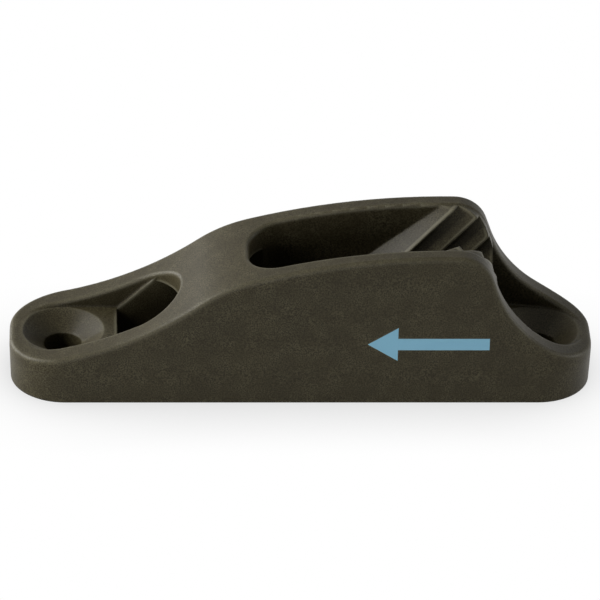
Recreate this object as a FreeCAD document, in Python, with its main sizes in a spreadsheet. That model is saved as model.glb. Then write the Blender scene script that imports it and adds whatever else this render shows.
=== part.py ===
import FreeCAD, Part

# Jam cleat for a 3 to 6 mm line: one die-cast aluminium body.
#
# Frame: millimetres, +Z up, origin in the middle of the underside. X runs along the
# rope, with the fairlead and the load at -X and the jaws and the free tail at +X.
# Everything is symmetrical about the XZ plane.

import math
import os

import Sketcher

os.makedirs("parts", exist_ok=True)
doc = FreeCAD.newDocument("JamCleat")
V = FreeCAD.Vector
TOUCH = 1e-4
BLEND = math.radians(4)


# Driving sizes: word alias, value (millimetres, or degrees for the angles), meaning.
DRIVING = [
    ("length", 82.0, "overall length"),
    ("width", 19.0, "overall width at the parting line"),
    ("parting_height", 4.8, "height of the mould parting line"),
    ("upper_draft", 2.36, "draft of the walls above the parting line, degrees"),
    ("lower_draft", 2.0, "draft of the walls below the parting line, degrees"),
    ("corner_radius", 7.8, "plan radius of the four corners"),
    ("edge_round", 0.64, "round along the outer top edge"),
    ("brow_radius", 1.1, "larger round across the top of either end"),
    ("brow_wall", 58.0, "how far that round has turned down where it meets the end wall, degrees"),
    ("brow_angle", 75.0, "how far the cut for it turns down, degrees"),
    ("lip_round", 0.5, "round along the edges of the openings"),
    ("toe_height", 5.95, "height the fairlead end sinks to"),
    ("slope_straight", 0.2, "straight between that end's hollow curve and the shoulder"),
    ("slope_angle", 36.84, "steepest slope of the hump, degrees"),
    ("shoulder_radius", 21.1, "round from that slope on to the crown"),
    ("shoulder_angle", 15.8, "slope where the shoulder meets the crown, degrees"),
    ("crown_radius", 102.0, "long curve of the crown"),
    ("crest_offset", 20.2, "distance of the crest from the middle"),
    ("crest_height", 23.2, "height of the crest"),
    ("nose_join_angle", 0.75, "slope where the crown meets the nose, degrees"),
    ("nose_radius", 5.0, "round over the jaw end"),
    ("nose_angle", 70.4, "steepest slope of the jaw end, degrees"),
    ("nose_straight", 2.17, "straight between the nose and the hollow curve of the tail end"),
    ("heel_height", 5.8, "height the tail end sinks to"),
    ("screw_spacing", 67.0, "distance between the two fixing screws"),
    ("screw_hole", 5.4, "diameter of the screw holes"),
    ("dish_diameter", 11.6, "diameter of the dish under each screw head"),
    ("dish_foot", 4.0, "height at which the dish meets the hole"),
    ("seat_drop", 0.03, "how far the seats stay below the land they die into"),
    ("recess_width", 12.0, "width of the recess at either end"),
    ("floor_height", 6.3, "height of the recess floors"),
    ("window_width", 10.8, "width of the rope window in front of the bridge"),
    ("window_near", 17.0, "distance of the bridge side of the window from the middle"),
    ("window_far", 25.85, "distance of the screw side of the window from the middle"),
    ("ramp_angle", 43.7, "slope of the ledges beside the window, degrees"),
    ("tail_start", 27.0, "where the tail recess begins, at the end of the jaws"),
    ("tail_slope", 6.0, "slope of the tail floor up toward the jaws, degrees"),
    ("slot_start", 7.5, "distance of the bridge side of the slot from the middle"),
    ("slot_width", 12.2, "width of the slot over the rope"),
    ("slot_corner", 4.7, "corner radius of the slot beside the bridge"),
    ("bridge_low", 11.0, "height of the underside of the bridge at the window"),
    ("bridge_high", 16.2, "height of the underside of the bridge at the slot"),
    ("jaw_start", 5.0, "distance of the foot of the jaws from the middle"),
    ("jaw_lean", 16.7, "lean of either jaw from the vertical, degrees"),
    ("jaw_foot_width", 2.0, "width of the vee at its bottom"),
    ("jaw_foot", 9.9, "height of the bottom of the vee"),
    ("keel_height", 6.8, "height of the underside of the jaws"),
    ("hollow_width", 10.8, "width of the hollow underside"),
    ("tooth_pitch", 4.45, "distance between teeth along the rope"),
    ("tooth_angle", 43.0, "slope of the teeth, degrees"),
    ("tooth_depth", 1.2, "depth of the grooves between teeth"),
    ("tooth_face", 0.5, "run of the steep face of a tooth along the rope"),
    ("crest_flat", 0.27, "flat left on each crest along the rope"),
    ("first_tooth", 20.5, "where the first crest line passes the reference height"),
    ("tooth_reference", 22.0, "height the crest positions are given at"),
    ("tooth_drop", 0.2, "how far the teeth end below the land beside them"),
    ("jaw_key", 0.1, "how far the jaws reach into the walls beside them"),
    ("lead_angle", 38.8, "slope of the line where the lead-in leaves the wall, degrees"),
    ("lead_start", 18.25, "where that line passes the reference height"),
    ("overrun", 3.0, "how far the cuts run out past the casting"),
]

# Sizes that follow from the driving ones.
DERIVED = [
    ("half_length", "length / 2"),
    ("half_width", "width / 2"),
    ("corner_x", "half_length - corner_radius"),
    ("corner_y", "half_width - corner_radius"),
    ("above", "parting_height + crest_height + overrun"),
    ("screw_x", "screw_spacing / 2"),
    ("hole_radius", "screw_hole / 2"),
    ("hole_edge_x", "screw_x - hole_radius"),
    ("dish_edge_x", "screw_x - dish_diameter / 2"),
    ("recess_half", "recess_width / 2"),
    ("seat_height", "floor_height - dish_foot"),
    ("seat_radius", "max(recess_half; slot_half) + lip_round"),
    ("window_half", "window_width / 2"),
    ("slot_half", "slot_width / 2"),
    ("jaw_foot_half", "jaw_foot_width / 2"),
    ("jaw_half", "slot_half + jaw_key"),
    # crown and shoulder
    ("crown_z", "crest_height - crown_radius"),
    ("shoulder_join_x", "crest_offset - crown_radius * sin(shoulder_angle)"),
    ("shoulder_join_z", "crown_z + crown_radius * cos(shoulder_angle)"),
    ("shoulder_x", "crest_offset - (crown_radius - shoulder_radius) * sin(shoulder_angle)"),
    ("shoulder_z", "crown_z + (crown_radius - shoulder_radius) * cos(shoulder_angle)"),
    ("slope_top_x", "shoulder_x - shoulder_radius * sin(slope_angle)"),
    ("slope_top_z", "shoulder_z + shoulder_radius * cos(slope_angle)"),
    ("slope_foot_z", "slope_top_z - slope_straight * sin(slope_angle)"),
    ("slope_foot_x", "slope_top_x - slope_straight * cos(slope_angle)"),
    ("toe_radius", "(slope_foot_z - toe_height) / (1 - cos(slope_angle))"),
    ("toe_x", "slope_foot_x - toe_radius * sin(slope_angle)"),
    # nose and heel
    ("nose_join_x", "crest_offset + crown_radius * sin(nose_join_angle)"),
    ("nose_join_z", "crown_z + crown_radius * cos(nose_join_angle)"),
    ("nose_x", "crest_offset + (crown_radius - nose_radius) * sin(nose_join_angle)"),
    ("nose_z", "crown_z + (crown_radius - nose_radius) * cos(nose_join_angle)"),
    ("drop_top_x", "nose_x + nose_radius * sin(nose_angle)"),
    ("drop_top_z", "nose_z + nose_radius * cos(nose_angle)"),
    ("drop_foot_z", "drop_top_z - nose_straight * sin(nose_angle)"),
    ("drop_foot_x", "drop_top_x + nose_straight * cos(nose_angle)"),
    ("heel_radius", "(drop_foot_z - heel_height) / (1 - cos(nose_angle))"),
    ("heel_x", "drop_foot_x + heel_radius * sin(nose_angle)"),
    ("beyond_left", "max(-toe_x; half_length) + overrun"),
    ("beyond_right", "max(heel_x; half_length) + overrun"),
    # rounds across the ends, tangent to the toe and heel curves
    ("toe_end_sin", "max(0; (-toe_x - half_length) / toe_radius)"),
    ("brow_toe_x", "half_length - brow_radius * (sin(brow_wall) - toe_end_sin)"),
    ("brow_toe_sin", "max(0; (-toe_x - brow_toe_x) / toe_radius)"),
    ("brow_toe_cos", "sqrt(1 - brow_toe_sin * brow_toe_sin)"),
    ("brow_toe_z", "toe_height + toe_radius * (1 - brow_toe_cos)"),
    ("brow_toe_end_x", "brow_toe_x + brow_radius * (sin(brow_angle) - brow_toe_sin)"),
    ("brow_toe_end_z", "brow_toe_z + brow_radius * (cos(brow_angle) - brow_toe_cos)"),
    ("heel_end_sin", "max(0; (heel_x - half_length) / heel_radius)"),
    ("brow_heel_x", "half_length - brow_radius * (sin(brow_wall) - heel_end_sin)"),
    ("brow_heel_sin", "max(0; (heel_x - brow_heel_x) / heel_radius)"),
    ("brow_heel_cos", "sqrt(1 - brow_heel_sin * brow_heel_sin)"),
    ("brow_heel_z", "heel_height + heel_radius * (1 - brow_heel_cos)"),
    ("brow_heel_end_x", "brow_heel_x + brow_radius * (sin(brow_angle) - brow_heel_sin)"),
    ("brow_heel_end_z", "brow_heel_z + brow_radius * (cos(brow_angle) - brow_heel_cos)"),
    # halfway across the land between the openings and the outside
    ("land_middle", "(slot_half + half_width) / 2"),
    ("end_middle", "(screw_x + recess_half + half_length) / 2"),
    # recesses
    ("recess_end", "window_near + recess_half"),
    ("ramp_top_x", "window_near - overrun"),
    ("ramp_top_z", "floor_height + (window_far - ramp_top_x) * tan(ramp_angle)"),
    ("tail_foot", "floor_height + (screw_x - tail_start) * tan(tail_slope)"),
    ("ledge_end", "recess_end - sqrt(recess_half * recess_half - window_half * window_half)"),
    ("slot_corner_x", "slot_start - slot_corner"),
    ("slot_corner_y", "slot_half - slot_corner"),
    # jaws
    ("jaw_top", "jaw_foot + (slot_half - jaw_foot_half) / tan(jaw_lean)"),
    ("lead_foot_z", "tooth_reference - (lead_start - jaw_start) * tan(lead_angle)"),
    ("lead_foot_crest_x", "first_tooth - (tooth_reference - lead_foot_z) / tan(tooth_angle)"),
    ("lead_foot_crest_y", "jaw_foot_half + (lead_foot_z - jaw_foot) * tan(jaw_lean)"),
    ("lead_top_x", "lead_start + (jaw_top - tooth_reference) / tan(lead_angle)"),
    ("lead_top_crest_x", "first_tooth + (jaw_top - tooth_reference) / tan(tooth_angle)"),
    ("groove_z", "crest_height + overrun"),
    ("groove_y", "jaw_foot_half + (groove_z - jaw_foot) * tan(jaw_lean)"),
    ("groove_x", "first_tooth + (groove_z - tooth_reference) / tan(tooth_angle)"),
    ("groove_fall", "groove_z - jaw_foot - tooth_depth"),
    ("groove_floor_y", "groove_y + tooth_depth"),
    ("groove_lean_x", "1 / tan(tooth_angle)"),
    ("groove_lean_y", "tan(jaw_lean)"),
    ("groove_one", "groove_x"),
    ("groove_one_deep", "groove_one + tooth_face"),
    ("groove_one_stop", "groove_one + tooth_pitch - crest_flat"),
    ("groove_two", "groove_one + tooth_pitch"),
    ("groove_two_deep", "groove_two + tooth_face"),
    ("groove_two_stop", "groove_two + tooth_pitch - crest_flat"),
    ("groove_three", "groove_two + tooth_pitch"),
    ("groove_three_deep", "groove_three + tooth_face"),
    ("groove_three_stop", "groove_three + tooth_pitch - crest_flat"),
    ("jaw_run", "screw_x - jaw_start"),
]

sheet = doc.addObject("Spreadsheet::Sheet", "Sizes")
row = 1
for alias, value, meaning in DRIVING:
    sheet.set(f"A{row}", alias)
    sheet.set(f"B{row}", str(value))
    sheet.set(f"C{row}", meaning)
    sheet.setAlias(f"B{row}", alias)
    row += 1
for alias, formula in DERIVED:
    sheet.set(f"A{row}", alias)
    sheet.set(f"B{row}", "=" + formula)
    sheet.setAlias(f"B{row}", alias)
    row += 1
doc.recompute()


def size(term):
    """Value of a signed sheet alias such as "-half_length"."""
    sign = -1.0 if term.startswith("-") else 1.0
    return sign * float(getattr(sheet, term.lstrip("-")))


def cell(term):
    """Expression for a signed sheet alias."""
    return ("-" if term.startswith("-") else "") + "Sizes." + term.lstrip("-")


class Outline:
    """A closed sketch outline whose corners are pinned to cells of the sheet."""

    def __init__(self, body, name, plane, offset=None, drop=None):
        self.sketch = body.newObject("Sketcher::SketchObject", name)
        self.sketch.Visibility = False
        origin = next(f for f in body.Origin.OriginFeatures if f.Role == plane)
        self.sketch.AttachmentSupport = (origin, "")
        self.sketch.MapMode = "FlatFace"
        if offset:
            self.sketch.AttachmentOffset = FreeCAD.Placement(V(0, 0, size(offset)), FreeCAD.Rotation())
            self.sketch.setExpression("AttachmentOffset.Base.z", cell(offset))
        if drop:
            self.sketch.AttachmentOffset = FreeCAD.Placement(V(0, -size(drop), 0), FreeCAD.Rotation())
            self.sketch.setExpression("AttachmentOffset.Base.y", "-" + cell(drop))

    def pin(self, geo, pos, along, term):
        """Tie one coordinate of a point to a cell, or to the axis when it is zero."""
        if term == "zero":
            axis = -2 if along == "X" else -1
            self.sketch.addConstraint(Sketcher.Constraint("PointOnObject", geo, pos, axis))
            return
        index = self.sketch.addConstraint(
            Sketcher.Constraint("Distance" + along, -1, 1, geo, pos, size(term)))
        self.sketch.setExpression(f"Constraints[{index}]", cell(term))

    def closed(self, points, arcs=None):
        """Draw the outline through the points. arcs maps the index of a segment to
        (radius cell, side), side +1 when the centre lies left of the direction of travel.
        A half circle is held by its centre, as its radius already follows from its ends."""
        arcs = arcs or {}
        count = len(points)
        value = [V(0 if x == "zero" else size(x), 0 if y == "zero" else size(y), 0) for x, y in points]
        ids = []
        flips = []
        for i in range(count):
            a, b = value[i], value[(i + 1) % count]
            if i in arcs:
                radius, side = arcs[i]
                r = size(radius)
                half = (b - a) * 0.5
                up = V(-half.y, half.x, 0).normalize() * side
                centre = a + half + up * math.sqrt(max(r * r - half.Length ** 2, 0.0))
                start = math.atan2(a.y - centre.y, a.x - centre.x)
                end = math.atan2(b.y - centre.y, b.x - centre.x)
                circle = Part.Circle(centre, V(0, 0, 1), r)
                if side > 0:
                    ids.append(self.sketch.addGeometry(Part.ArcOfCircle(circle, start, end), False))
                    flips.append(False)
                else:
                    ids.append(self.sketch.addGeometry(Part.ArcOfCircle(circle, end, start), False))
                    flips.append(True)
            else:
                ids.append(self.sketch.addGeometry(Part.LineSegment(a, b), False))
                flips.append(False)
        for i in range(count):
            j = (i + 1) % count
            last = 1 if flips[i] else 2
            first = 2 if flips[j] else 1
            self.sketch.addConstraint(Sketcher.Constraint("Coincident", ids[i], last, ids[j], first))
        for i, (x, y) in enumerate(points):
            first = 2 if flips[i] else 1
            self.pin(ids[i], first, "X", x)
            self.pin(ids[i], first, "Y", y)
        for i, (radius, side) in arcs.items():
            start, end = points[i], points[(i + 1) % count]
            if start[0] == end[0] and start[1].lstrip("-") == end[1].lstrip("-") == radius:
                self.pin(ids[i], 3, "X", start[0])
                continue
            index = self.sketch.addConstraint(Sketcher.Constraint("Radius", ids[i], size(radius)))
            self.sketch.setExpression(f"Constraints[{index}]", cell(radius))
        return self.sketch


def feature(body, kind, name, sketch, **cells):
    """Add a PartDesign feature; keyword values are sheet cells or plain settings."""
    made = body.newObject("PartDesign::" + kind, name)
    if sketch is not None:
        made.Profile = sketch
        sketch.Visibility = False
    for key, term in cells.items():
        if isinstance(term, str) and term.lstrip("-") in ALIASES:
            setattr(made, key, size(term))
            made.setExpression(key, cell(term))
        else:
            setattr(made, key, term)
    return made


ALIASES = {alias for alias, _, _ in DRIVING} | {alias for alias, _ in DERIVED}


def settle(what):
    """Recompute and stop on any object that failed."""
    doc.recompute()
    for obj in doc.Objects:
        if "Invalid" in obj.State or "Error" in obj.State:
            raise RuntimeError(f"{what}: {obj.Name} is {obj.State}")


body = doc.addObject("PartDesign::Body", "cleat_body")

# Blank: the plan outline drawn at the parting line and drawn out both ways with draft.
plan = Outline(body, "plan_outline", "XY_Plane", "parting_height").closed(
    [("-corner_x", "-half_width"), ("corner_x", "-half_width"),
     ("half_length", "-corner_y"), ("half_length", "corner_y"),
     ("corner_x", "half_width"), ("-corner_x", "half_width"),
     ("-half_length", "corner_y"), ("-half_length", "-corner_y")],
    {1: ("corner_radius", 1), 3: ("corner_radius", 1), 5: ("corner_radius", 1), 7: ("corner_radius", 1)})
blank = feature(body, "Pad", "blank_upper", plan, Length="crest_height")
blank.TaperAngle = -size("upper_draft")
blank.setExpression("TaperAngle", "-Sizes.upper_draft")
settle("blank")
base = feature(body, "Pad", "blank_lower", plan, Length="parting_height", Reversed=True)
base.TaperAngle = -size("lower_draft")
base.setExpression("TaperAngle", "-Sizes.lower_draft")
settle("base")

def hump_profile(owner, name, drop=None):
    """Side outline of everything above the hump curve, or above that curve lowered by drop."""
    return Outline(owner, name, "XZ_Plane", drop=drop).closed(
        [("-beyond_left", "toe_height"), ("toe_x", "toe_height"), ("slope_foot_x", "slope_foot_z"),
         ("slope_top_x", "slope_top_z"), ("shoulder_join_x", "shoulder_join_z"),
         ("nose_join_x", "nose_join_z"), ("drop_top_x", "drop_top_z"), ("drop_foot_x", "drop_foot_z"),
         ("heel_x", "heel_height"), ("beyond_right", "heel_height"),
         ("beyond_right", "above"), ("-beyond_left", "above")],
        {1: ("toe_radius", 1), 3: ("shoulder_radius", -1), 4: ("crown_radius", -1),
         5: ("nose_radius", -1), 7: ("heel_radius", 1)})


# Side profile: everything above the hump curve is taken away.
profile = hump_profile(body, "side_profile")
hump = feature(body, "Pocket", "hump_cut", profile, Type="ThroughAll", Midplane=True)
settle("hump")
brows = Outline(body, "brows", "XZ_Plane")
brows.closed(
    [("brow_heel_x", "brow_heel_z"), ("brow_heel_end_x", "brow_heel_end_z"),
     ("beyond_right", "brow_heel_end_z"), ("beyond_right", "above"), ("brow_heel_x", "above")],
    {0: ("brow_radius", -1)})
brows.closed(
    [("-beyond_left", "brow_toe_end_z"), ("-brow_toe_end_x", "brow_toe_end_z"),
     ("-brow_toe_x", "brow_toe_z"), ("-brow_toe_x", "above"), ("-beyond_left", "above")],
    {1: ("brow_radius", -1)})
ends = feature(body, "Pocket", "end_brows", brows.sketch, Type="ThroughAll", Midplane=True)
settle("brows")


def normal_at(face, point):
    """Outward normal of a face at a point on it."""
    return face.normalAt(*face.Surface.parameter(point))


def rim_edges(shape, outer):
    """Names of the sharp edges that bound the side profile's surfaces: the outer ones
    along the walls, or the ones round the openings."""
    names = []
    line = profile.Shape
    for i, edge in enumerate(shape.Edges, start=1):
        box = edge.BoundBox
        middle = edge.valueAt((edge.FirstParameter + edge.LastParameter) / 2)
        marks = [middle] + [v.Point for v in edge.Vertexes]
        flat = [Part.Vertex(V(m.x, 0, m.z)) for m in marks]
        if any(f.distToShape(line)[0] > TOUCH for f in flat):
            continue
        sides = shape.ancestorsOfType(edge, Part.Face)
        if len(sides) != 2 or normal_at(sides[0], middle) * normal_at(sides[1], middle) > math.cos(BLEND):
            continue
        inside = max(abs(box.YMin), abs(box.YMax)) < size("land_middle") and \
            max(abs(box.XMin), abs(box.XMax)) < size("end_middle")
        if inside != outer:
            names.append(f"Edge{i}")
    return names


rim = body.newObject("PartDesign::Fillet", "outer_round")
rim.Base = (ends, rim_edges(ends.Shape, outer=True))
rim.Radius = size("edge_round")
rim.setExpression("Radius", "Sizes.edge_round")
settle("outer round")

def new_body(name):
    """A further body, to be joined to another one or taken out of it."""
    return doc.addObject("PartDesign::Body", name)


def combine(owner, kind, name, bodies):
    """Join the bodies to their owner or cut them out of it."""
    made = owner.newObject("PartDesign::Boolean", name)
    made.Type = kind
    made.setObjects(bodies)
    owner.Tip = made
    settle(name)
    return made


def mirror(owner, name, features, role):
    """Repeat features on the other side of one of the owner's planes."""
    made = owner.newObject("PartDesign::Mirrored", name)
    made.Originals = features
    made.MirrorPlane = (next(f for f in owner.Origin.OriginFeatures if f.Role == role), [""])
    owner.Tip = made
    settle(name)
    return made


# Fairlead opening: a recess from the screw to the bridge, and beyond its floor the rope window.
fairlead = new_body("fairlead_opening")
fairlead_plan = Outline(fairlead, "fairlead_plan", "XY_Plane").closed(
    [("-screw_x", "recess_half"), ("-screw_x", "-recess_half"), ("-recess_end", "-recess_half"),
     ("-window_near", "zero"), ("-recess_end", "recess_half")],
    {0: ("recess_half", 1), 2: ("recess_half", 1), 3: ("recess_half", 1)})
feature(fairlead, "Pad", "fairlead_block", fairlead_plan, Length="above")
fairlead_floor = Outline(fairlead, "fairlead_floor", "XZ_Plane").closed(
    [("-beyond_left", "-overrun"), ("-window_far", "-overrun"), ("-window_far", "floor_height"),
     ("-screw_x", "floor_height"), ("-screw_x", "dish_foot"), ("-beyond_left", "dish_foot")])
feature(fairlead, "Pocket", "fairlead_step", fairlead_floor, Type="ThroughAll", Midplane=True)
settle("fairlead")

# Long opening: the slot over the rope, the way through the jaws and the recess round the tail screw.
channel = new_body("rope_channel")
channel_plan = Outline(channel, "channel_plan", "XY_Plane").closed(
    [("-slot_corner_x", "-slot_half"), ("screw_x", "-slot_half"), ("screw_x", "slot_half"),
     ("-slot_corner_x", "slot_half"), ("-slot_start", "slot_corner_y"), ("-slot_start", "-slot_corner_y")],
    {1: ("slot_half", 1), 3: ("slot_corner", 1), 5: ("slot_corner", 1)})
feature(channel, "Pad", "channel_block", channel_plan, Length="above")
channel_floor = Outline(channel, "channel_floor", "XZ_Plane").closed(
    [("jaw_start", "-overrun"), ("beyond_right", "-overrun"), ("beyond_right", "dish_foot"),
     ("screw_x", "dish_foot"), ("screw_x", "floor_height"), ("tail_start", "tail_foot"),
     ("tail_start", "keel_height"), ("jaw_start", "keel_height")])
feature(channel, "Pocket", "channel_step", channel_floor, Type="ThroughAll", Midplane=True)
settle("channel")
openings = combine(body, "Cut", "openings", [fairlead, channel])

# Lips round the openings.
lips = body.newObject("PartDesign::Fillet", "lips")
lips.Base = (openings, rim_edges(openings.Shape, outer=False))
lips.Radius = size("lip_round")
lips.setExpression("Radius", "Sizes.lip_round")
body.Tip = lips
settle("lips")

# Seats under the outer half of the screw heads, dying into the land at the very ends.
seats = new_body("screw_seats")
seat_plan = Outline(seats, "seat_plan", "XY_Plane", "dish_foot").closed(
    [("-screw_x", "seat_radius"), ("-screw_x", "-seat_radius")], {0: ("seat_radius", 1)})
seat = feature(seats, "Pad", "seat_block", seat_plan, Length="seat_height")
settle("seat")
mirror(seats, "seat_twin", [seat], "YZ_Plane")
seat_crown = hump_profile(seats, "seat_crown", drop="seat_drop")
feature(seats, "Pocket", "seat_crown_cut", seat_crown, Type="ThroughAll", Midplane=True)
settle("seat crown")
combine(body, "Fuse", "seats_joined", [seats])

# Hollow underside, below the bridge and below the jaws.
under_bridge = Outline(body, "under_bridge", "XZ_Plane").closed(
    [("-window_far", "-overrun"), ("-slot_corner_x", "-overrun"), ("-slot_corner_x", "bridge_high"),
     ("-slot_start", "bridge_high"), ("-window_near", "bridge_low"), ("-window_far", "bridge_low")])
feature(body, "Pocket", "bridge_hollow", under_bridge, Length="window_width", Midplane=True)
settle("bridge hollow")
under_jaws = Outline(body, "under_jaws", "XZ_Plane").closed(
    [("-slot_corner_x", "-overrun"), ("window_far", "-overrun"),
     ("window_far", "keel_height"), ("-slot_corner_x", "keel_height")])
feature(body, "Pocket", "jaw_hollow", under_jaws, Length="hollow_width", Midplane=True)
settle("jaw hollow")

# Screw holes and the dishes under the screw heads.
dish = Outline(body, "dish_section", "XZ_Plane").closed(
    [("screw_x", "-overrun"), ("hole_edge_x", "-overrun"), ("hole_edge_x", "dish_foot"),
     ("dish_edge_x", "floor_height"), ("dish_edge_x", "above"), ("screw_x", "above")])
screw = body.newObject("PartDesign::Groove", "screw_dish")
screw.Profile = dish
screw.ReferenceAxis = (dish, ["Edge6"])
screw.Angle = 360
settle("screw")
mirror(body, "screw_dish_twin", [screw], "YZ_Plane")

# Ledges either side of the window, rising from the floor to the bridge.
ledge = new_body("window_ledges")
ledge_plan = Outline(ledge, "ledge_plan", "XY_Plane").closed(
    [("-window_far", "window_half"), ("-ledge_end", "window_half"),
     ("-ledge_end", "recess_half"), ("-window_far", "recess_half")])
strip = feature(ledge, "Pad", "ledge_block", ledge_plan, Length="above")
ledge_top = Outline(ledge, "ledge_top", "XZ_Plane").closed(
    [("-window_far", "floor_height"), ("-ramp_top_x", "ramp_top_z"), ("-ramp_top_x", "above"),
     ("-beyond_left", "above"), ("-beyond_left", "floor_height")])
ramp = feature(ledge, "Pocket", "ledge_ramp", ledge_top, Type="ThroughAll", Midplane=True)
ledge_crown = hump_profile(ledge, "ledge_crown", drop="lip_round")
trim = feature(ledge, "Pocket", "ledge_crown_cut", ledge_crown, Type="ThroughAll", Midplane=True)
settle("ledge")
mirror(ledge, "other_ledge", [strip, ramp, trim], "XZ_Plane")
combine(body, "Fuse", "ledges", [ledge])

# Jaws: a block between the walls, its top just below the land beside it.
jaws = new_body("jaws")
jaw_plan = Outline(jaws, "jaw_plan", "XY_Plane", "keel_height").closed(
    [("jaw_start", "-jaw_half"), ("tail_start", "-jaw_half"),
     ("tail_start", "jaw_half"), ("jaw_start", "jaw_half")])
feature(jaws, "Pad", "jaw_block", jaw_plan, Length="crest_height")
jaw_crown = hump_profile(jaws, "jaw_crown", drop="tooth_drop")
feature(jaws, "Pocket", "jaw_crown_cut", jaw_crown, Type="ThroughAll", Midplane=True)
settle("jaw block")

# Vee between the jaws, cut along the rope from the slot to the tail recess.
vee = Outline(jaws, "vee_section", "YZ_Plane", "jaw_start").closed(
    [("-jaw_foot_half", "jaw_foot"), ("jaw_foot_half", "jaw_foot"), ("slot_half", "jaw_top"),
     ("slot_half", "above"), ("-slot_half", "above"), ("-slot_half", "jaw_top")])
feature(jaws, "Pocket", "vee", vee, Length="jaw_run", Reversed=True)
settle("vee")

# Lead-in: either jaw swings back to the slot wall in a flared face.
lead_foot = Outline(jaws, "lead_foot", "XY_Plane", "lead_foot_z").closed(
    [("-slot_corner_x", "-jaw_half"), ("jaw_start", "-jaw_half"),
     ("lead_foot_crest_x", "-lead_foot_crest_y"), ("lead_foot_crest_x", "lead_foot_crest_y"),
     ("jaw_start", "jaw_half"), ("-slot_corner_x", "jaw_half")])
lead_top = Outline(jaws, "lead_top", "XY_Plane", "jaw_top").closed(
    [("-slot_corner_x", "-jaw_half"), ("lead_top_x", "-jaw_half"),
     ("lead_top_crest_x", "-jaw_half"), ("lead_top_crest_x", "jaw_half"),
     ("lead_top_x", "jaw_half"), ("-slot_corner_x", "jaw_half")])
lead = jaws.newObject("PartDesign::SubtractiveLoft", "lead_in")
lead.Profile = lead_foot
lead.Sections = [lead_top]
lead.Ruled = True
settle("lead in")

# Grooves between the teeth of either jaw, sloping down toward the load.
grooves = new_body("tooth_grooves")
teeth = Outline(grooves, "groove_section", "XY_Plane", "groove_z")
for start, deep, stop in (("groove_one", "groove_one_deep", "groove_one_stop"),
                          ("groove_two", "groove_two_deep", "groove_two_stop"),
                          ("groove_three", "groove_three_deep", "groove_three_stop")):
    teeth.closed([(start, "groove_y"), (stop, "groove_y"), (deep, "groove_floor_y")])
run = feature(grooves, "Pad", "groove_run", teeth.sketch, Length="groove_fall", Reversed=False)
run.UseCustomVector = True
run.AlongSketchNormal = True
run.Direction = V(-size("groove_lean_x"), -size("groove_lean_y"), -1)
run.setExpression("Direction.x", "-Sizes.groove_lean_x")
run.setExpression("Direction.y", "-Sizes.groove_lean_y")
settle("groove run")
mirror(grooves, "other_jaw", [run], "XZ_Plane")
combine(jaws, "Cut", "teeth", [grooves])
combine(body, "Fuse", "jaws_joined", [jaws])

shape = body.Shape
if shape.isNull() or not shape.isValid():
    raise RuntimeError("cleat_body has no sound shape")
shape.exportStep("parts/cleat_body.step")
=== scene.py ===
import logging
import math
from dataclasses import dataclass
from enum import Enum

import bmesh
import bpy
from mathutils import Matrix, Vector


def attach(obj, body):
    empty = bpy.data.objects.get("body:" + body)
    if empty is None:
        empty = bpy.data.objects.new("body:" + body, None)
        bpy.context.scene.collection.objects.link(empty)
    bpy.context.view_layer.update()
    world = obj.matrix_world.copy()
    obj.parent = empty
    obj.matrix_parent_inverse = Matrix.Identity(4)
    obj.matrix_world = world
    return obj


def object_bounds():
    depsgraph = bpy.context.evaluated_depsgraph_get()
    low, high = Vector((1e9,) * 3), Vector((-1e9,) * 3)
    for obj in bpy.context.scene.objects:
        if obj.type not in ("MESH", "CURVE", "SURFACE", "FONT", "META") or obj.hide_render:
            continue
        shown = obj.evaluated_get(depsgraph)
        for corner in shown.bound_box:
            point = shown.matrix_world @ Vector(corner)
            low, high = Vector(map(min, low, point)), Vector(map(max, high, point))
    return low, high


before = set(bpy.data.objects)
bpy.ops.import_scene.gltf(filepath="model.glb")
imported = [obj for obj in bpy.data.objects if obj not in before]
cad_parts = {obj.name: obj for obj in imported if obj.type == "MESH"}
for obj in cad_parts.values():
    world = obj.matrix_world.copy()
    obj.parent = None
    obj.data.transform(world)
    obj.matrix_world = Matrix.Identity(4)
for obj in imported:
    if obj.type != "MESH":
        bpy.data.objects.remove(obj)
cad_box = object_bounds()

# Looks of a jam cleat: a dark hard-anodised casting with a plain printed arrow on one flank.
# The frame is the CAD one, in metres: +X runs along the rope to the tail end, +Z is up.

LOG = logging.getLogger("jam_cleat")
MM = 0.001
ROOT_BODY = "root"

# A mix node keeps its colours in these sockets, behind the ones for plain numbers and vectors.
FIRST_COLOUR = 6
SECOND_COLOUR = 7
MIXED_COLOUR = 2


class Slot(Enum):
    """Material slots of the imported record."""

    CASTING = "anodised_casting"


def linear(hex_colour: str) -> tuple[float, float, float, float]:
    """Turn an sRGB hex colour to the linear colour that shaders take, by the sRGB curve.

    Args:
        hex_colour: Six hex digits, such as "403B31".

    Returns:
        Linear red, green and blue, and an alpha of 1.
    """
    channels = [int(hex_colour[i:i + 2], 16) / 255 for i in (0, 2, 4)]
    red, green, blue = (c / 12.92 if c <= 0.04045 else ((c + 0.055) / 1.055) ** 2.4 for c in channels)
    return red, green, blue, 1.0


def add_node(tree: bpy.types.NodeTree, kind: str, links: dict[str | int, object] | None = None,
             **settings: object) -> bpy.types.Node:
    """Add a shader node with its settings and incoming links.

    Args:
        tree: Node tree that takes the node.
        kind: Node type, such as "ShaderNodeMix".
        links: Input name or number to an output socket or a plain value.
        **settings: Attributes of the node.

    Returns:
        The new node.
    """
    node = tree.nodes.new(kind)
    for name, value in settings.items():
        setattr(node, name, value)
    for key, source in (links or {}).items():
        if isinstance(source, bpy.types.NodeSocket):
            tree.links.new(source, node.inputs[key])
        else:
            node.inputs[key].default_value = source
    return node


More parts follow.
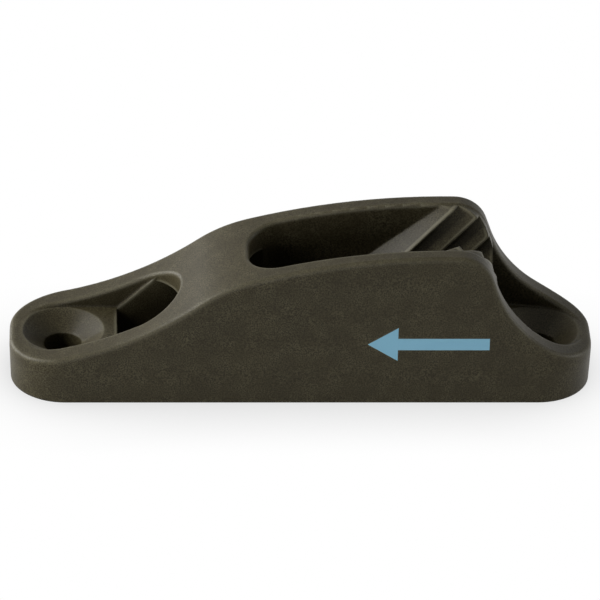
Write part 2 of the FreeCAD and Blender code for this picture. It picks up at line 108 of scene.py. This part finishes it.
@dataclass(frozen=True)
class HardAnodisedCasting:
    """Hard-anodised aluminium, die-cast and tumbled: a dark olive-grey oxide skin, matte, with fine
    light and dark grain, slow changes of tone and paler outer edges, which are partly worn and partly
    a painted highlight."""

    name: str = "hard_anodised_casting"

    # The oxide scatters light, which leaves the eye only a low, wide gloss.
    roughness: float = 0.46
    specular: float = 0.165

    # The dye bath colours the skin a dark olive that drifts slowly from spot to spot.
    dark: str = "241F11"
    light: str = "352F1D"
    tone_size: float = 5.0 * MM
    tone_detail: float = 4.0
    tone_roughness: float = 0.6

    # Tumbling leaves dark pits and pale specks. The real grain, of about 0.1 mm, is finer than a
    # pixel of the render, so it is drawn at the smallest size that shows.
    pit: str = "0D0A04"
    speck: str = "645F49"
    grain_size: float = 0.2 * MM
    grain_depth: float = 0.015 * MM
    grain_detail: float = 3.0
    grain_roughness: float = 0.65
    all_pit: float = 0.40
    all_speck: float = 0.62

    # The grain shows in patches: faint where the skin is calm, strong where it is rough.
    patch_size: float = 2.5 * MM
    patch_detail: float = 2.0
    calm_patch: float = 0.4
    rough_patch: float = 0.68
    grain_calm: float = 0.20
    grain_rough: float = 0.42

    # Tumbling and the rope wear the outer edges pale, but only where the casting lies open. The pale
    # edge is also a painted highlight, standing in for the light that the rounded rims catch, and it
    # is held back where the casting shelters itself, as in shade. It starts and is full at these
    # shares of free rays, and so are shelter and openness to rubbing and light.
    worn_and_highlit: str = "6C6856"
    pale_edge_reach: float = 0.6 * MM
    pale_edge_starts: float = 0.95
    pale_edge_full: float = 0.74
    most_wear_and_highlight: float = 0.75
    openness_reach: float = 9.0 * MM
    sheltered: float = 0.60
    open_to_rub_and_light: float = 0.85
    pale_edge_samples: int = 8

    # A casting has no knife edges, so light rolls over the ones that the mesh keeps sharp.
    soft_edge: float = 0.45 * MM
    soft_samples: int = 6

    def material(self) -> bpy.types.Material:
        """Build the material on Object coordinates.

        Returns:
            The new material.
        """
        made = bpy.data.materials.new(self.name)
        made.use_nodes = True
        tree = made.node_tree
        tree.nodes.clear()
        place = add_node(tree, "ShaderNodeTexCoord").outputs["Object"]
        grain = add_node(tree, "ShaderNodeTexNoise", {
            "Vector": place, "Scale": 1 / self.grain_size, "Detail": self.grain_detail,
            "Roughness": self.grain_roughness}).outputs["Fac"]
        # The pale edges mixed in here are partly wear and partly a painted highlight.
        colour = add_node(tree, "ShaderNodeMix", {
            "Factor": self.wear_and_highlight(tree), FIRST_COLOUR: self.skin(tree, place, grain),
            SECOND_COLOUR: linear(self.worn_and_highlit)}, data_type="RGBA")
        shader = add_node(tree, "ShaderNodeBsdfPrincipled", {
            "Base Color": colour.outputs[MIXED_COLOUR], "Roughness": self.roughness,
            "Specular IOR Level": self.specular, "Normal": self.relief(tree, grain)})
        add_node(tree, "ShaderNodeOutputMaterial", {"Surface": shader.outputs[0]})
        return made

    def skin(self, tree: bpy.types.NodeTree, place: bpy.types.NodeSocket,
             grain: bpy.types.NodeSocket) -> bpy.types.NodeSocket:
        """Colour the unworn skin: slow tones under patches of pits and specks.

        Args:
            tree: Node tree of the material.
            place: Object coordinates.
            grain: Height of the grain.

        Returns:
            The skin's colour.
        """
        tone = add_node(tree, "ShaderNodeTexNoise", {
            "Vector": place, "Scale": 1 / self.tone_size, "Detail": self.tone_detail,
            "Roughness": self.tone_roughness})
        body = add_node(tree, "ShaderNodeMix", {
            "Factor": tone.outputs["Fac"], FIRST_COLOUR: linear(self.dark),
            SECOND_COLOUR: linear(self.light)}, data_type="RGBA")
        spread = add_node(tree, "ShaderNodeMapRange", {
            "Value": grain, "From Min": self.all_pit, "From Max": self.all_speck})
        grains = add_node(tree, "ShaderNodeMix", {
            "Factor": spread.outputs[0], FIRST_COLOUR: linear(self.pit),
            SECOND_COLOUR: linear(self.speck)}, data_type="RGBA")
        patch = add_node(tree, "ShaderNodeTexNoise", {
            "Vector": place, "Scale": 1 / self.patch_size, "Detail": self.patch_detail})
        share = add_node(tree, "ShaderNodeMapRange", {
            "Value": patch.outputs["Fac"], "From Min": self.calm_patch, "From Max": self.rough_patch,
            "To Min": self.grain_calm, "To Max": self.grain_rough})
        skin = add_node(tree, "ShaderNodeMix", {
            "Factor": share.outputs[0], FIRST_COLOUR: body.outputs[MIXED_COLOUR],
            SECOND_COLOUR: grains.outputs[MIXED_COLOUR]}, data_type="RGBA")
        return skin.outputs[MIXED_COLOUR]

    def wear_and_highlight(self, tree: bpy.types.NodeTree) -> bpy.types.NodeSocket:
        """Find the pale edges, partly worn and partly a painted highlight: rays sent into the metal
        soon meet another face only beside an outer edge, and rays sent out of it are stopped where the
        casting shelters itself, which keeps the painted highlight out of the shade.

        Args:
            tree: Node tree of the material.

        Returns:
            The share of the pale edge colour, part wear and part painted highlight.
        """
        edge = add_node(tree, "ShaderNodeAmbientOcclusion", {
            "Distance": self.pale_edge_reach}, samples=self.pale_edge_samples, inside=True)
        open_side = add_node(tree, "ShaderNodeAmbientOcclusion", {
            "Distance": self.openness_reach}, samples=self.pale_edge_samples)
        rubbed_and_lit = add_node(tree, "ShaderNodeMapRange", {
            "Value": open_side.outputs["AO"], "From Min": self.sheltered,
            "From Max": self.open_to_rub_and_light, "To Max": self.most_wear_and_highlight})
        wear_and_highlight = add_node(tree, "ShaderNodeMapRange", {
            "Value": edge.outputs["AO"], "From Min": self.pale_edge_starts,
            "From Max": self.pale_edge_full, "To Max": rubbed_and_lit.outputs[0]})
        return wear_and_highlight.outputs[0]

    def relief(self, tree: bpy.types.NodeTree, grain: bpy.types.NodeSocket) -> bpy.types.NodeSocket:
        """Shade the surface with soft edges and the height of the grain.

        Args:
            tree: Node tree of the material.
            grain: Height of the grain.

        Returns:
            The shading normal.
        """
        soft = add_node(tree, "ShaderNodeBevel", {"Radius": self.soft_edge}, samples=self.soft_samples)
        bump = add_node(tree, "ShaderNodeBump", {
            "Height": grain, "Distance": self.grain_depth, "Normal": soft.outputs[0]})
        return bump.outputs[0]


@dataclass(frozen=True)
class PadPrintInk:
    """Pad-printed epoxy ink: an even, pale-blue film that hides the grain, with a slight satin
    face."""

    name: str = "pad_print_ink"
    colour: str = "7AB0C9"
    roughness: float = 0.5

    def material(self) -> bpy.types.Material:
        """Build the material, whose values are the same all over.

        Returns:
            The new material.
        """
        made = bpy.data.materials.new(self.name)
        made.use_nodes = True
        shader = made.node_tree.nodes["Principled BSDF"]
        shader.inputs["Base Color"].default_value = linear(self.colour)
        shader.inputs["Roughness"].default_value = self.roughness
        return made


@dataclass
class Casting:
    """The cast body of the cleat: the CAD node, dressed."""

    node: str = "cleat_body"
    finish: HardAnodisedCasting = HardAnodisedCasting()

    def dress(self) -> bpy.types.Object:
        """Give the casting its finish.

        Returns:
            The CAD node's object.
        """
        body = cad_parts[self.node]
        body.data.materials.clear()
        body.data.materials.append(self.finish.material())
        return body


@dataclass
class PrintedArrow:
    """A plain printed arrow on the near flank, pointing to the load."""

    name: str = "printed_arrow"
    tail_x: float = 26.0 * MM
    tip_x: float = 9.0 * MM
    middle_z: float = 9.6 * MM
    shaft_half: float = 0.9 * MM
    head_half: float = 2.6 * MM
    head_length: float = 4.2 * MM

    # The film stands proud of the flank, and its back is sunk a little so that no gap shows.
    film: float = 0.03 * MM
    sink: float = 0.05 * MM

    # Above the parting line the flank leans in by the mould's draft.
    parting_z: float = 4.8 * MM
    flank_y: float = 9.5 * MM
    draft: float = math.radians(2.36)
    ink: PadPrintInk = PadPrintInk()

    def build(self) -> bpy.types.Object:
        """Model the print as a thin film that lies on the drafted flank.

        Returns:
            The arrow, which rides on the casting's body.
        """
        mesh = bmesh.new()
        corners = [mesh.verts.new((x, self.wall(z) + self.sink, z)) for x, z in self.outline()]
        face = mesh.faces.new(corners)
        grown = bmesh.ops.extrude_face_region(mesh, geom=[face])
        raised = [v for v in grown["geom"] if isinstance(v, bmesh.types.BMVert)]
        bmesh.ops.translate(mesh, verts=raised, vec=(0, -self.film - self.sink, 0))
        bmesh.ops.recalc_face_normals(mesh, faces=mesh.faces)
        data = bpy.data.meshes.new(self.name)
        mesh.to_mesh(data)
        mesh.free()
        data.materials.append(self.ink.material())
        made = bpy.data.objects.new(self.name, data)
        bpy.context.scene.collection.objects.link(made)
        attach(made, ROOT_BODY)
        return made

    def outline(self) -> list[tuple[float, float]]:
        """Set out the arrow's corners.

        Returns:
            X and Z of each corner, in order round the arrow.
        """
        neck_x = self.tip_x + self.head_length
        z = self.middle_z
        return [(self.tip_x, z), (neck_x, z - self.head_half), (neck_x, z - self.shaft_half),
                (self.tail_x, z - self.shaft_half), (self.tail_x, z + self.shaft_half),
                (neck_x, z + self.shaft_half), (neck_x, z + self.head_half)]

    def wall(self, z: float) -> float:
        """Y of the near flank at a height above the parting line."""
        return -self.flank_y + (z - self.parting_z) * math.tan(self.draft)


@dataclass(frozen=True)
class Lamp:
    """A soft square lamp, turned to the middle of the cleat."""

    name: str
    place: tuple[float, float, float]
    side: float
    radiance: float
    aim: tuple[float, float, float] = (0.0, 0.0, 10.0 * MM)

    def build(self) -> bpy.types.Object:
        """Add the lamp, with the power that gives its face the stated radiance.

        Returns:
            The lamp's object.
        """
        data = bpy.data.lights.new(self.name, "AREA")
        data.shape = "SQUARE"
        data.size = self.side
        data.energy = self.radiance * math.pi * self.side ** 2
        back = Vector(self.place) - Vector(self.aim)
        lamp = bpy.data.objects.new(self.name, data)
        lamp.location = self.place
        lamp.rotation_euler = back.to_track_quat("Z", "Y").to_euler()
        bpy.context.scene.collection.objects.link(lamp)
        return lamp


@dataclass
class Studio:
    """Pale floor, white surroundings and soft lamps, most of the light from the load side."""

    floor_half: float = 3.0
    floor_colour: str = "E8E8E6"

    # The surroundings show white, at a strength of 1, but light the cleat only faintly.
    white_strength: float = 1.0
    sky_strength: float = 0.05

    # Below the casting the floor is painted dark, a painted shadow, so that its openings don't show
    # the white background.
    shade_colour: str = "0A0A0A"
    end_round: float = 9.0 * MM
    shade_inset: float = 1.5 * MM

    # The white that the camera sees sinks to the shadow's tone beside the foot, where fewer rays
    # go free: from the share with no shadow down to the share in deep shadow.
    shadow_reach: float = 14.0 * MM
    shadow_tone: float = 0.72
    deep_shadow: float = 0.4
    no_shadow: float = 0.98
    shadow_samples: int = 16

    lamps: tuple[Lamp, ...] = (
        Lamp("load_side", (-0.415, 0.0, 0.26), side=0.25, radiance=15.7),
        Lamp("load_side_low", (-0.42, 0.30, 0.11), side=0.20, radiance=13.0),
        Lamp("front_low", (-0.10, -0.50, 0.10), side=0.18, radiance=7.4),
        Lamp("tail_side", (0.46, 0.04, 0.10), side=0.16, radiance=9.0),
    )

    def build(self) -> None:
        """Build the floor, the surroundings and the lamps."""
        self.build_floor()
        self.build_world()
        for lamp in self.lamps:
            lamp.build()

    def build_floor(self) -> None:
        """Lay a pale floor that is white to the camera and keeps the cleat's soft shadow."""
        mesh = bmesh.new()
        bmesh.ops.create_grid(mesh, x_segments=1, y_segments=1, size=self.floor_half)
        data = bpy.data.meshes.new("floor")
        mesh.to_mesh(data)
        mesh.free()
        data.materials.append(self.floor_material())
        floor = bpy.data.objects.new("floor", data)
        bpy.context.scene.collection.objects.link(floor)

    def floor_material(self) -> bpy.types.Material:
        """Build the floor's paper, which shines white only to the rays that show it.

        Returns:
            The new material.
        """
        made = bpy.data.materials.new("pale_floor")
        made.use_nodes = True
        tree = made.node_tree
        tree.nodes.clear()
        clear = self.open_floor(tree)
        # Below the casting the paper takes the painted shadow's dark colour.
        colour = add_node(tree, "ShaderNodeMix", {
            "Factor": clear, FIRST_COLOUR: linear(self.shade_colour),
            SECOND_COLOUR: linear(self.floor_colour)}, data_type="RGBA")
        paper = add_node(tree, "ShaderNodeBsdfDiffuse", {"Color": colour.outputs[MIXED_COLOUR]})
        near = add_node(tree, "ShaderNodeAmbientOcclusion", {
            "Distance": self.shadow_reach}, samples=self.shadow_samples)
        tone = add_node(tree, "ShaderNodeMapRange", {
            "Value": near.outputs["AO"], "From Min": self.deep_shadow, "From Max": self.no_shadow,
            "To Min": self.shadow_tone, "To Max": self.white_strength})
        white = add_node(tree, "ShaderNodeEmission", {"Strength": tone.outputs[0]})
        shown = add_node(tree, "ShaderNodeMath", {
            0: self.seen(tree), 1: clear}, operation="MULTIPLY")
        mix = add_node(tree, "ShaderNodeMixShader", {
            0: shown.outputs[0], 1: paper.outputs[0], 2: white.outputs[0]})
        add_node(tree, "ShaderNodeOutputMaterial", {"Surface": mix.outputs[0]})
        return made

    def open_floor(self, tree: bpy.types.NodeTree) -> bpy.types.NodeSocket:
        """Tell the open floor from the shaded patch below the casting, a round-ended strip that is
        a little smaller than the foot.

        Args:
            tree: Node tree of the floor's material.

        Returns:
            Socket that is 1 on the open floor and 0 on the patch.
        """
        _, high = cad_box
        straight = (high[0] - self.end_round, high[1] - self.end_round, 0)
        place = add_node(tree, "ShaderNodeTexCoord").outputs["Object"]
        quarter = add_node(tree, "ShaderNodeVectorMath", {0: place}, operation="ABSOLUTE")
        beyond = add_node(tree, "ShaderNodeVectorMath", {
            0: quarter.outputs[0], 1: straight}, operation="SUBTRACT")
        corner = add_node(tree, "ShaderNodeVectorMath", {
            0: beyond.outputs[0], 1: (0, 0, 0)}, operation="MAXIMUM")
        reach = add_node(tree, "ShaderNodeVectorMath", {0: corner.outputs[0]}, operation="LENGTH")
        clear = add_node(tree, "ShaderNodeMath", {
            0: reach.outputs["Value"], 1: self.end_round - self.shade_inset},
            operation="GREATER_THAN")
        return clear.outputs[0]

    def seen(self, tree: bpy.types.NodeTree) -> bpy.types.NodeSocket:
        """Pick out the rays that show the background, straight or in a reflection.

        Args:
            tree: Node tree that takes the nodes.

        Returns:
            Socket that is 1 for such a ray and 0 for the others.
        """
        path = add_node(tree, "ShaderNodeLightPath")
        shown = path.outputs["Is Camera Ray"]
        for kind in ("Is Glossy Ray", "Is Transmission Ray"):
            shown = add_node(tree, "ShaderNodeMath", {
                0: shown, 1: path.outputs[kind]}, operation="MAXIMUM").outputs[0]
        return shown

    def build_world(self) -> None:
        """Make surroundings that show white and light the cleat with a faint, even sky."""
        world = bpy.data.worlds.new("studio")
        world.use_nodes = True
        tree = world.node_tree
        tree.nodes.clear()
        sky = add_node(tree, "ShaderNodeBackground", {"Strength": self.sky_strength})
        white = add_node(tree, "ShaderNodeBackground", {"Strength": self.white_strength})
        mix = add_node(tree, "ShaderNodeMixShader", {
            0: self.seen(tree), 1: sky.outputs[0], 2: white.outputs[0]})
        add_node(tree, "ShaderNodeOutputWorld", {"Surface": mix.outputs[0]})
        bpy.context.scene.world = world


@dataclass(frozen=True)
class PhotographCamera:
    """The photograph's viewpoint: a long lens, a little above the cleat and from the load side."""

    azimuth: float = math.radians(-2.85)
    elevation: float = math.radians(31.68)
    roll: float = math.radians(-1.53)
    distance: float = 0.8
    sensor: float = 36.0

    # Nearest and farthest things in view, as shares of the distance.
    near_share: float = 0.1
    far_share: float = 20.0

    # The picture is 600 pixels wide. Its scale is taken at the cleat's middle, which shows just
    # right of the picture's middle and below it.
    image_side: int = 600
    pixels_per_metre: float = 7108.0
    middle_height: float = 10.0 * MM
    pixels_right: float = 1.16
    pixels_down: float = 6.86

    def build(self) -> bpy.types.Object:
        """Create the camera and make it the scene's.

        Returns:
            The camera's object.
        """
        a, e = self.azimuth, self.elevation
        back = Vector((math.sin(a) * math.cos(e), -math.cos(a) * math.cos(e), math.sin(e)))
        level = Vector((math.cos(a), math.sin(a), 0))
        upright = back.cross(level)
        c, s = math.cos(self.roll), math.sin(self.roll)
        right, up = level * c - upright * s, level * s + upright * c
        aim = Vector((0, 0, self.middle_height)) + (
            up * self.pixels_down - right * self.pixels_right) / self.pixels_per_metre
        data = bpy.data.cameras.new("camera")
        data.sensor_width = self.sensor
        data.lens = self.sensor * self.pixels_per_metre * self.distance / self.image_side
        data.clip_start = self.distance * self.near_share
        data.clip_end = self.distance * self.far_share
        camera = bpy.data.objects.new("camera", data)
        camera.matrix_world = Matrix.Translation(aim + back * self.distance) @ Matrix(
            (right, up, back)).transposed().to_4x4()
        bpy.context.scene.collection.objects.link(camera)
        bpy.context.scene.camera = camera
        return camera


def main() -> None:
    """Build the scene in order and report each piece."""
    logging.basicConfig(level=logging.INFO)
    PhotographCamera().build()
    bpy.context.scene.view_settings.view_transform = "Standard"
    casting = Casting().dress()
    LOG.info("dressed %s", casting.name)
    arrow = PrintedArrow().build()
    LOG.info("built %s", arrow.name)
    Studio().build()
    LOG.info("built the studio")


if __name__ == "__main__":
    main()
